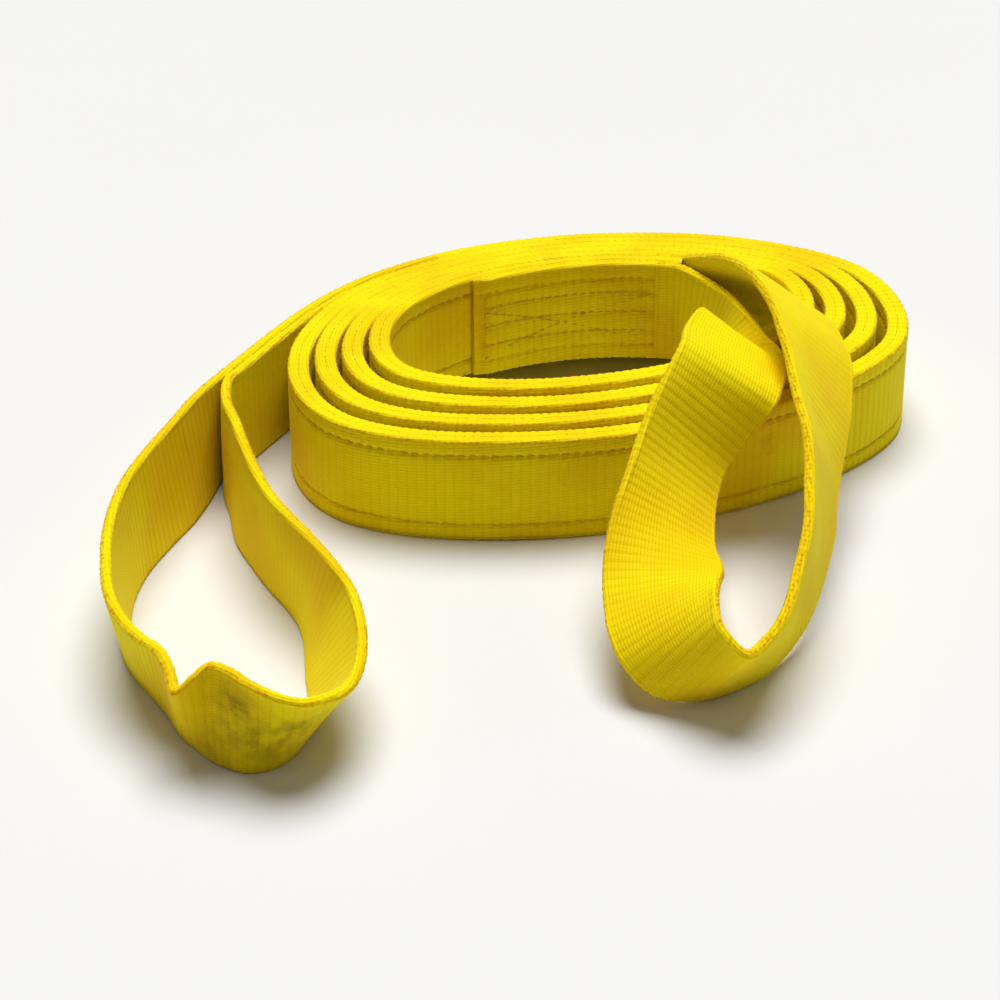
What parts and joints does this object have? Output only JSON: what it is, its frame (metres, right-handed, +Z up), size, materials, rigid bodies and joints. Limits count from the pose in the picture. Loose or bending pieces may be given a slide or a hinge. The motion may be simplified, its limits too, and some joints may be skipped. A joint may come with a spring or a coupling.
{
  "type": "flat web sling",
  "caption": "Two-ply flat web lifting sling with a single-ply eye at each end, stored on edge as an oval coil with both eyes lying free.",
  "frame": {"origin": "on the floor under the middle of the whole object", "axes": "+Z up, across the webbing's width as it stands on its edge; +X along the coil's long way; -Y towards the side where both eyes lie"},
  "size_m": [0.3559, 0.3896, 0.0992],
  "materials": {
    "webbing": "ribbed woven polyester, slight sheen",
    "stitching": "bonded polyester thread"
  },
  "bodies": {
    "coil": {"outer_ply_turn_1": "webbing", "outer_ply_turn_2": "webbing", "outer_ply_turn_3": "webbing", "outer_ply_turn_4": "webbing", "inner_ply_turn_1": "webbing", "inner_ply_turn_2": "webbing", "inner_ply_turn_3": "webbing", "inner_ply_turn_4": "webbing", "splice_outer_ply": "webbing", "splice_middle_ply": "webbing", "splice_lap_ply": "webbing", "lower_edge_stitch": "stitching", "upper_edge_stitch": "stitching", "splice_zigzag_stitch": "stitching", "splice_bar_tacks": "stitching"},
    "tail": {"tail_outer_ply": "webbing", "tail_inner_ply": "webbing", "tail_edge_stitch": "stitching"},
    "outer_eye": {"outer_eye_left_limb": "webbing", "outer_eye_bight": "webbing", "outer_eye_right_limb": "webbing"},
    "inner_eye": {"inner_eye_left_limb": "webbing", "inner_eye_bight": "webbing", "inner_eye_right_limb": "webbing", "inner_throat_core": "webbing"}
  },
  "joints": [
    {"name": "tail_swing", "type": "hinge", "parent": "coil", "child": "tail", "pos_m": [-0.08628, 0.13312, 0], "axis": [0, 0, 1], "range_deg": [-30, 2]},
    {"name": "outer_eye_swing", "type": "hinge", "parent": "tail", "child": "outer_eye", "pos_m": [-0.1405, 0.0451, 0], "axis": [0, 0, 1], "range_deg": [-24, 9]},
    {"name": "inner_eye_swing", "type": "hinge", "parent": "coil", "child": "inner_eye", "pos_m": [0.07443, 0.14109, 0], "axis": [0, 0, 1], "range_deg": [-6, 0.5]}
  ]
}
